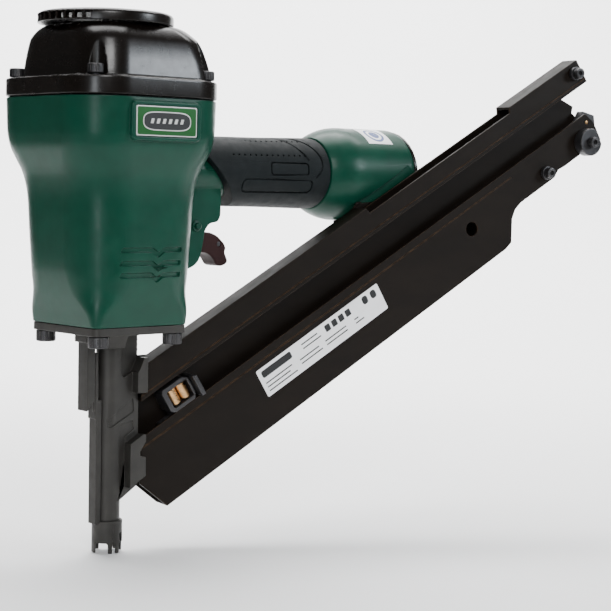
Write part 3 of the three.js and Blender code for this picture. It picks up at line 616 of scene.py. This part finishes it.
def build_name_plate():
    outline = rounded_outline([(-23.6, 119.8), (23.6, 119.8), (23.6, 138.4), (-23.6, 138.4)],
                              1.4)
    base = soften(slab("name_plate_base", outline, -58.9, -57.9), 0.15, 2)
    place(base, RIM, "body", "name_plate", "plate_green")
    field = [(x * 0.965, PLATE_Z + (z - PLATE_Z) * 0.92) for x, z in outline]
    place(soften(slab("name_plate_field", field, -59.02, -58.8), 0.05, 1), PLATE,
          slot="plate_green")

    def lozenge(half_x, half_z):
        points = []
        for step in range(72):
            a = 2 * math.pi * step / 72
            c, s = math.cos(a), math.sin(a)
            points.append((half_x * math.copysign(abs(c) ** 0.42, c),
                           PLATE_Z + half_z * math.copysign(abs(s) ** 0.75, s)))
        return points
    place(slab("emblem_rim", lozenge(18.6, 5.9), -59.12, -58.9), RIM, slot="steel")
    place(slab("emblem_field", lozenge(17.9, 5.2), -59.2, -59.0), INK, slot="black_paint")
    bars = [(-11.5, 2.2), (-6.9, 2.2), (-2.3, 2.2), (2.3, 2.2), (6.9, 2.2), (11.5, 2.2)]
    for i, (x, half) in enumerate(bars):
        mark = slab(f"emblem_mark_{i + 1}", rounded_outline(
            [(x - half * 0.7, PLATE_Z - 1.5), (x + half * 0.3, PLATE_Z - 1.5),
             (x + half * 0.7, PLATE_Z + 1.5), (x - half * 0.3, PLATE_Z + 1.5)], 0.3, 3),
            -59.27, -59.1)
        place(mark, RIM, slot="steel")


# ---------------------------------------------------------------- handle

def wrapped(name, outline, inner, outer, side=-1):
    """A pad that follows the handle: a turned shell cut to a side outline."""
    shell = turned(name, [(inner, 56), (outer - 0.5, 56), (outer, 120), (outer + 0.6, 176),
                          (inner, 176)], 128, (0, 0, HANDLE_Z), "x")
    mask = slab("mask", outline, 0 if side > 0 else -40, 40 if side > 0 else 0)
    return combine(shell, "INTERSECT", mask)


def ring_outline(points, radius, width):
    """Outer and inner outlines of a band of that width around rounded points."""
    outer = rounded_outline(points, radius)
    cx = sum(p[0] for p in outer) / len(outer)
    cz = sum(p[1] for p in outer) / len(outer)
    xs = max(abs(p[0] - cx) for p in outer)
    zs = max(abs(p[1] - cz) for p in outer)
    inner = [(cx + (x - cx) * (1 - width / xs), cz + (z - cz) * (1 - width / zs))
             for x, z in outer]
    return outer, inner


DOT_PITCH = 4.6
DOT_R = 0.8
DOT_SIDES = 8


def build_grip():
    grip = turned("hand_grip_sleeve", [
        (17.8, 58.5), (23.5, 58.5), (23.6, 80), (24, 120), (24.6, 150), (25, 164),
        (25.05, 169), (24.9, 171), (24.3, 172.1), (23, 172.2), (17.8, 172.2)],
        144, (0, 0, HANDLE_Z), "x")
    cut(grip, slab("slant", [(20, 146.7), (34, 140), (105, 65), (105, 40), (20, 40)], -40, 40),
        block("front", (40, 64), (-40, 40), (20, 118)))
    for side in (-1, 1):
        for points, radius in (
                ([(117, 97.4), (151.6, 97.4), (151.6, 106.6), (117, 106.6)], 2.6),
                ([(92.5, 85.6), (156, 85.6), (156, 95.2), (92.5, 95.2)], 4.4)):
            outer, inner = ring_outline(points, radius, 0.9)
            band = wrapped("band", outer, 22.9, 27, side)
            cut(band, slab("core", inner, -50, 50))
            cut(grip, band)
        for line in (
                [(131, 123.8), (138, 122), (143.5, 118.8), (147.6, 114.6), (150.4, 111.2),
                 (152.6, 108.2)],
                [(146, 123.9), (153.5, 121.8), (159, 118), (162.6, 113), (164.3, 107.2),
                 (163.6, 103), (161.2, 99.6), (158, 96.6)]):
            path = []
            for x, z in eased(line, 4):
                reach = 24.75 ** 2 - (z - HANDLE_Z) ** 2
                path.append((x, side * math.sqrt(max(reach, 0.01)), z))
            cut(grip, swept("line", path, 0.75, 8))
    dots = []
    for side in (-1, 1):
        for start, stop, angle in ((86, 150, 29), (104, 151, 62)):
            count = int((stop - start) / DOT_PITCH)
            for i in range(count + 1):
                x = start + (stop - start) * i / count
                turn = math.radians(angle)
                radius = 24.0 + (x - 120) * 0.02
                dots.append((x, side * radius * math.cos(turn),
                             HANDLE_Z + radius * math.sin(turn)))
    verts, faces = [], []
    for x, y, z in dots:
        at = Vector((x, y, z))
        out = Vector((0, y, z - HANDLE_Z)).normalized()
        along = Vector((1, 0, 0))
        across = out.cross(along)
        base = len(verts)
        for depth in (-1.1, 1.2):
            for k in range(DOT_SIDES):
                a = 2 * math.pi * k / DOT_SIDES
                verts.append(at + out * depth
                             + DOT_R * (along * math.cos(a) + across * math.sin(a)))
        top = base + DOT_SIDES
        faces += [(base + k, base + (k + 1) % DOT_SIDES, top + (k + 1) % DOT_SIDES, top + k)
                  for k in range(DOT_SIDES)]
        faces += [tuple(range(top - 1, base - 1, -1)), tuple(range(top, top + DOT_SIDES))]
    cut(grip, piece_from("dots", verts, faces))
    soften(grip, 0.22, 1, 40)
    place(grip, RUBBER, "body", "grip", "rubber")


def build_end():
    refined("end_cap", CAP_PAINT, 0.5)
    refined("air_inlet", BRASS, 0.35)


def sticker_patch(name, outline_xa, radius, thickness, look):
    """A thin piece on the reservoir, from (x, degrees above the near side) rings."""
    rings = []
    for ring in outline_xa:
        for lift in (0, thickness):
            rings.append([(x, -(radius + lift) * math.cos(math.radians(a)),
                           HANDLE_Z + (radius + lift) * math.sin(math.radians(a)))
                          for x, a in ring])
    low, high = rings[0::2], rings[1::2]
    loop = low + high[::-1]
    count = len(low[0])
    verts = [p for ring in loop for p in ring]
    faces = []
    for level in range(len(loop)):
        here, there = level * count, (level + 1) % len(loop) * count
        faces += [(here + i, here + i + 1, there + i + 1, there + i) for i in range(count - 1)]
    half = len(low)
    for i in (0, count - 1):
        for level in range(half - 1):
            a, b = level * count + i, (level + 1) * count + i
            c, d = (2 * half - 2 - level) * count + i, (2 * half - 1 - level) * count + i
            faces.append((a, b, c, d))
    place(piece_from(name, verts, faces), look, slot="plate_green")


def build_sticker():
    sheet = [[(x, a) for a in range(42, 80, 2)] for x in range(209, 234, 2)]
    sticker_patch("reservoir_sticker", sheet, BULB_R, 0.14, PAPER)
    centre, reach = (221, 60), 8.2

    def ring(inner, outer, name):
        rows = []
        for step in range(49):
            t = 2 * math.pi * step / 48
            rows.append([(centre[0] + r * math.cos(t),
                          centre[1] + math.degrees(r / BULB_R) * math.sin(t))
                         for r in (inner, (inner + outer) / 2, outer)])
        sticker_patch(name, rows, BULB_R + 0.14, 0.05, BLUE)
    ring(reach - 1.9, reach, "sticker_ring")
    ring(0.2, reach - 4, "sticker_disc")


# ---------------------------------------------------------------- nose and trigger

GUIDE_R = 8.2
WEB_HALF = 8                          # half thickness of the web beside the guide
RECESS_DEPTH = 0.9


def shallow(name, outline, depth):
    """A recess of even depth that follows the drive guide and the web beside it."""
    tool = slab(name, outline, -20, -4)
    return cut(tool, rod("guide", "z", GUIDE_R - depth, -150, 10, sides=96),
               block("web", (0, 40), (-WEB_HALF + depth, WEB_HALF), (-150, 10)))


def build_nose():
    recess = [
        shallow("slant_recess", rounded_outline(
            [(-5.4, -62.6), (14.2, -49.6), (15.1, -58.6), (-4.2, -68.4)], 1.2), RECESS_DEPTH),
        shallow("long_recess", rounded_outline(
            [(3.4, -70), (4.8, -66.4), (14.4, -64.4), (15.1, -70.4), (8.3, -74.4),
             (7.6, -107.4), (3.7, -109.8)], 1.1), RECESS_DEPTH),
        slab("pocket", rounded_outline(
            [(4.4, -8), (22, -8), (22, -15.5), (14.4, -31.6), (6.4, -36), (4.4, -33.4)], 1.6),
            -20, -5.6),
    ]
    # Room for the driver blade, and a mouth that slopes in to it.
    driver_way = block("driver_way", (-2.9, 2.9), (-4.4, 4.4), (-141, 3))
    bore = rod("driver_bore", "z", 4.9, -141, -44)
    mouth = turned("mouth", [(0, -138), (9.5, -138), (9.5, -136.3), (4, -134.9), (0, -134.9)])
    refined("nose_casting", CASTING, 0.35, 2, [*recess, driver_way, bore, mouth])
    refined("contact_guard", CASTING, 0.5)


FIRST_GAP = 211                       # degrees about the axis to the first gap
GAP_STEP = 52                         # degrees from each gap in the crown to the next
GAP_HALVES = (4.4, 1.3)               # half widths of the gaps, by turns
GAP_TOP = -143.8


def build_contact():
    contact = turned("work_contact_collar", [(8, -150.5), (10, -150.5), (10, -129.8),
                                             (9.6, -129.2), (8, -129.6)], 72)
    strip = block("strip", (-12.2, -8), (-4, 4), (-131, -50))
    shank = block("shank", (-13.2, -10.8), (-4, 4), (-62, -19))
    tie = block("tie", (-12, -9.2), (-4, 4), (-62, -50))
    join(contact, strip, shank, tie)
    cut(contact, rod("inside", "z", 8.6, -160, -40, sides=72))
    for gap in range(6):
        half = GAP_HALVES[gap % 2]
        section = [(-half * 1.12, -158), (half * 1.12, -158), (half, GAP_TOP - 1),
                   (half - 0.8, GAP_TOP), (-half + 0.8, GAP_TOP), (-half, GAP_TOP - 1)]
        notch = skin("notch", [[(x, across, z) for across, z in section] for x in (5, 14)])
        turn = math.radians(FIRST_GAP + GAP_STEP * gap)
        notch.data.transform(Matrix.Rotation(turn, 4, "Z"))
        cut(contact, notch)
    hole = slab("oval", [(5 + 1.9 * math.cos(a), -140 + 3.2 * math.sin(a))
                         for a in (2 * math.pi * k / 24 for k in range(24))], -14, 0)
    cut(contact, hole)
    soften(contact, 0.25, 2, 36)
    place(contact, CASTING, "contact", "work_contact", "cast_grey")
    refined("contact_link", DARK_STEEL, 0.5, 2)


def build_trigger():
    outline = eased([
        (55.5, 67), (53.5, 62.8), (55.5, 57), (66, 50), (70.2, 45.2), (74.6, 44.4),
        (78.8, 42.2), (81.6, 39.2), (83.2, 36.8), (86, 35.4), (89.6, 35.6), (92.6, 37.2),
        (93.2, 39.6), (91, 44.4), (91.7, 47.4), (90.2, 50.6), (87.4, 53.2), (84.4, 55.6),
        (80.3, 57.5), (76, 58.4), (68.5, 58.6), (66.4, 64.6), (64, 67), (60, 68),
        (55.5, 67)], 4)[:-1]
    lever = slab("trigger_lever", outline, -7.4, 7.4)
    soften(lever, 1.3, 4, 40)
    slot = slab("slot", [(52, 47.5), (84, 46.2), (90.2, 47.2), (89.6, 49.6), (86, 56),
                         (86, 72), (52, 72)], -3.2, 3.2)
    cut(lever, slot, rod("pin_hole", "y", TRIGGER_PIN_HOLE, -20, 20, TRIGGER_PIN, 32),
        rod("rocker_hole", "y", 1.9, -20, 20, (85.2, 0, 50.4), 24))
    place(lever, TRIGGER, "trigger", "trigger", "trigger_brown")
    for node, look, width in (("trigger_rocker", STEEL, 0.3), ("trigger_pin", STEEL, 0.4),
                              ("rocker_pin", DARK_STEEL, 0.3), ("valve_stem", STEEL, 0.3),
                              ("trigger_valve", BRASS, 0.3)):
        refined(node, look, width)
    # Small bosses and a bolt on the near cheek.
    for i, (x, z, radius) in enumerate(((52.2, 76.6, 1.3), (51.8, 60.4, 1.1),
                                        (51.4, 49.6, 1.1))):
        boss = turned(f"cheek_pin_{i + 1}", [(0, -14.0), (radius * 0.7, -14.0),
                                             (radius, -13.6), (radius, -12), (0, -12)], 24,
                      (x, 0, z), "y")
        place(boss, DARK_STEEL, slot="dark_steel")
    bolt = turned("cheek_bolt", [(0, -16.6), (1.6, -16.6), (2.3, -16.1), (2.4, -14.2),
                                 (3.6, -14.0), (3.8, -13.4), (3.8, -12), (0, -12)], 40,
                  TRIGGER_PIN, "y")
    place(bolt, PAINT, slot="green_paint")


# ---------------------------------------------------------------- magazine

def build_magazine():
    wall_line = slab("wall_line", [(-70, -82.4), (330, -82.4), (330, -81.6), (-70, -81.6)],
                     -9, -7.7)
    rail_line = slab("rail_line", [(-70, -52.2), (440, -52.2), (440, -51.7), (-70, -51.7)],
                     -9, -7.75)
    refined("magazine_body", ANODISED, 0.45, 2, [wall_line, rail_line],
            matrix=TO_MAGAZINE)
    for node, look, width in (("pusher", DARK_STEEL, 0.6), ("pusher_tab", DARK_STEEL, 0.5),
                              ("strip_pawl", DARK_STEEL, 0.5), ("end_stop", DARK_STEEL, 0.8),
                              ("rear_bushing", DARK_STEEL, 0.5), ("pawl_pin", BRASS, 0.3),
                              ("rail_bushing", DARK_STEEL, 0.5),
                              ("feed_spring_1", BRASS, 0.4), ("feed_spring_2", BRASS, 0.4)):
        refined(node, look, width, matrix=TO_MAGAZINE)
    refined("magazine_bracket", ANODISED, 0.8)


LABEL_SHEET = 0.16


def label_patch(name, s0, s1, n0, n1, lift, look, radius=0.3):
    outline = rounded_outline([(s0, n0), (s1, n0), (s1, n1), (s0, n1)], radius, 3)
    face = MAG_FACE - lift
    place(slab(name, outline, face, face + LABEL_SHEET), look, slot="plate_green",
          matrix=TO_MAGAZINE)


def build_label():
    s0, s1, n0, n1 = 72.7, 187.6, -106.9, -86.1
    label_patch("rating_label", s0, s1, n0, n1, LABEL_SHEET, PAPER, 1.2)
    label_patch("label_block", s0 + 3, s0 + 30, -93.6, -88.4, 0.2, INK, 1.6)
    rows = [(s0 + 3, s0 + 27, -97.6), (s0 + 3, s0 + 24, -100.6), (s0 + 3, s0 + 29, -103.6)]
    rows += [(s0 + 40, s0 + 55, -90.0), (s0 + 40, s0 + 57, -93.2), (s0 + 34, s0 + 52, -98.6),
             (s0 + 34, s0 + 54, -101.6), (s0 + 58, s0 + 78, -98.6), (s0 + 58, s0 + 78, -101.6),
             (s0 + 86, s0 + 94, -101.6), (s0 + 86, s0 + 90, -98.6)]
    for i, (a, b, n) in enumerate(rows):
        label_patch(f"label_line_{i + 1}", a, b, n - 0.45, n + 0.45, 0.2, INK, 0.2)
    for i, a in enumerate((s0 + 62, s0 + 68.5, s0 + 75, s0 + 81.5)):
        label_patch(f"label_mark_{i + 1}", a, a + 4.6, -93.8, -88.8, 0.2, INK, 0.8)
    for i, a in enumerate((s0 + 98, s0 + 106)):
        label_patch(f"label_sign_{i + 1}", a, a + 5, -94.2, -88.2, 0.2, INK, 2.2)


# ---------------------------------------------------------------- carried-over nodes

def dress_remaining():
    """Gives each CAD node that still shows the finish of its material slot."""
    for name, node in frame["nodes"].items():
        if not node.hide_render:
            look = SLOT_LOOKS[NODE_SLOTS[name]]
            node.data.materials.clear()
            node.data.materials.append(look)


# ---------------------------------------------------------------- scene

BEND_R = 1.6
BEND_START = 0.9
BEND_STEPS = 24
FLOOR_HALF = 1.2
WALL_TOP = 4


def build_stage():
    """A pale floor that rises behind the tool in one wide bend."""
    floor_z = cad_box[0][2] - 0.0005
    bend = [(-0.6, 0), (0, 0), (0.6, 0)]
    for step in range(1, BEND_STEPS + 1):
        angle = math.pi / 2 * step / BEND_STEPS
        bend.append((BEND_START + BEND_R * math.sin(angle), BEND_R * (1 - math.cos(angle))))
    bend.append((BEND_START + BEND_R, WALL_TOP))
    turn = Matrix.Rotation(-CAMERA_YAW, 3, "Z")
    verts = []
    for side in (-FLOOR_HALF, FLOOR_HALF):
        for along, up in bend:
            point = turn @ Vector((side, along, 0))
            verts.append((point.x, point.y, floor_z + up))
    count = len(bend)
    faces = [(i, i + 1, count + i + 1, count + i) for i in range(count - 1)]
    floor = piece_from("studio_floor", verts, faces)
    floor.data.shade_smooth()
    floor.data.materials.append(finish("studio_white", (0.90, 0.90, 0.90), (0.92, 0.92, 0.92),
                                       (0.8, 0.9), tone=0.01, tone_size=400, grain=8,
                                       depth=0.01, wear_and_highlight=0.1))


def area_light(name, at, aim, size, power, colour=(1, 1, 1)):
    data = bpy.data.lights.new(name, "AREA")
    data.shape = "RECTANGLE"
    data.size, data.size_y = size
    data.energy = power
    data.color = colour
    light = bpy.data.objects.new(name, data)
    bpy.context.scene.collection.objects.link(light)
    light.location = at
    light.rotation_euler = (Vector(aim) - Vector(at)).to_track_quat("-Z", "Y").to_euler()


CAMERA_YAW = math.radians(42.416)
CAMERA_PITCH = math.radians(-4.177)
CAMERA_ROLL = math.radians(1.108)
CAMERA_LENS = 99.47
CAMERA_AT = Vector((-643.5, -893.3, 93.3))


def build_camera():
    """The camera stands before the tool, to its left, and looks slightly down."""
    view = Vector((math.sin(CAMERA_YAW) * math.cos(CAMERA_PITCH),
                   math.cos(CAMERA_YAW) * math.cos(CAMERA_PITCH), math.sin(CAMERA_PITCH)))
    right = Vector((math.cos(CAMERA_YAW), -math.sin(CAMERA_YAW), 0))
    up = right.cross(view)
    across = math.cos(CAMERA_ROLL) * right + math.sin(CAMERA_ROLL) * up
    above = math.cos(CAMERA_ROLL) * up - math.sin(CAMERA_ROLL) * right
    data = bpy.data.cameras.new("photo_camera")
    data.sensor_width = 36
    data.lens = CAMERA_LENS
    camera = bpy.data.objects.new("photo_camera", data)
    bpy.context.scene.collection.objects.link(camera)
    turn = Matrix((across, above, -view)).transposed()
    camera.matrix_world = Matrix.Translation(TO_FRAME @ CAMERA_AT) @ turn.to_4x4()
    bpy.context.scene.camera = camera


def build_lights():
    world = bpy.data.worlds.new("studio")
    bpy.context.scene.world = world
    world.use_nodes = True
    world.node_tree.nodes["Background"].inputs["Color"].default_value = (1, 1, 1, 1)
    world.node_tree.nodes["Background"].inputs["Strength"].default_value = 0.09
    middle = (0, 0, -0.05)
    area_light("key_softbox", (-0.9, -1.5, 0.9), middle, (0.6, 0.6), 20)
    area_light("side_softbox", (0.88, -1.18, 0.5), middle, (0.40, 0.36), 11, (0.86, 0.93, 1))
    area_light("left_softbox", (-1.25, -0.9, -0.02), middle, (0.22, 0.6), 5, (0.9, 0.95, 1))
    area_light("top_softbox", (0.2, 0.5, 1.9), (0.3, 0.7, -0.25), (1.8, 1.4), 60)
    area_light("backdrop_softbox", (0.7, 0.8, 1.6), (1.5, 1.65, 0.2), (2.6, 1.4), 150)


build_camera()
build_lights()
build_stage()
build_housing()
build_cap()
build_deflector()
build_name_plate()
build_screws()
build_grip()
build_end()
build_sticker()
build_nose()
build_contact()
build_trigger()
build_magazine()
build_label()
dress_remaining()
